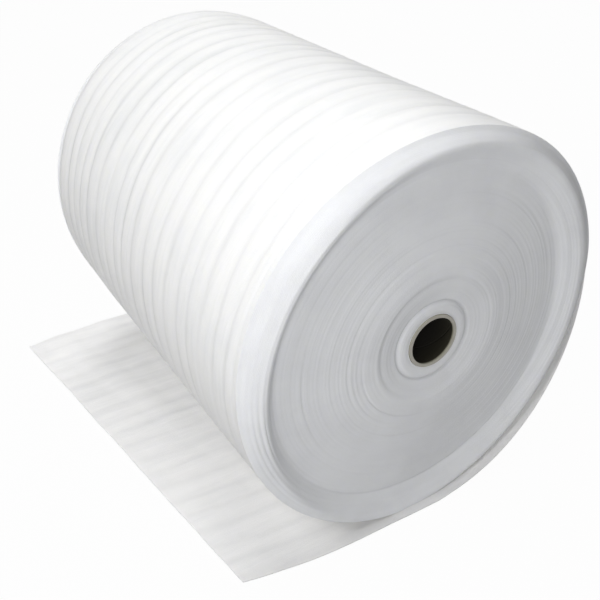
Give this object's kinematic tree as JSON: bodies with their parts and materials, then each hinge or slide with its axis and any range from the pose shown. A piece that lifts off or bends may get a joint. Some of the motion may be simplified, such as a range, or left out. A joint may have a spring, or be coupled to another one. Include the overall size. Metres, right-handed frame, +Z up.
{
  "type": "foam wrap roll",
  "caption": "Wide roll of thin ribbed packing foam wound on a paperboard core, lying on its side with the free end of the sheet run out flat.",
  "frame": {"origin": "on the floor, at the middle of the flat spot under the roll's axis", "axes": "+Z up, Y along the roll's axis with the raised rim at the -Y end, and the free end of the sheet runs out towards -X"},
  "size_m": [0.732, 0.79, 0.6268],
  "materials": {
    "white_foam": "matte",
    "paperboard": "matte"
  },
  "bodies": {
    "root": {"foam_roll": "white_foam", "core_tube": "paperboard"}
  },
  "joints": []
}
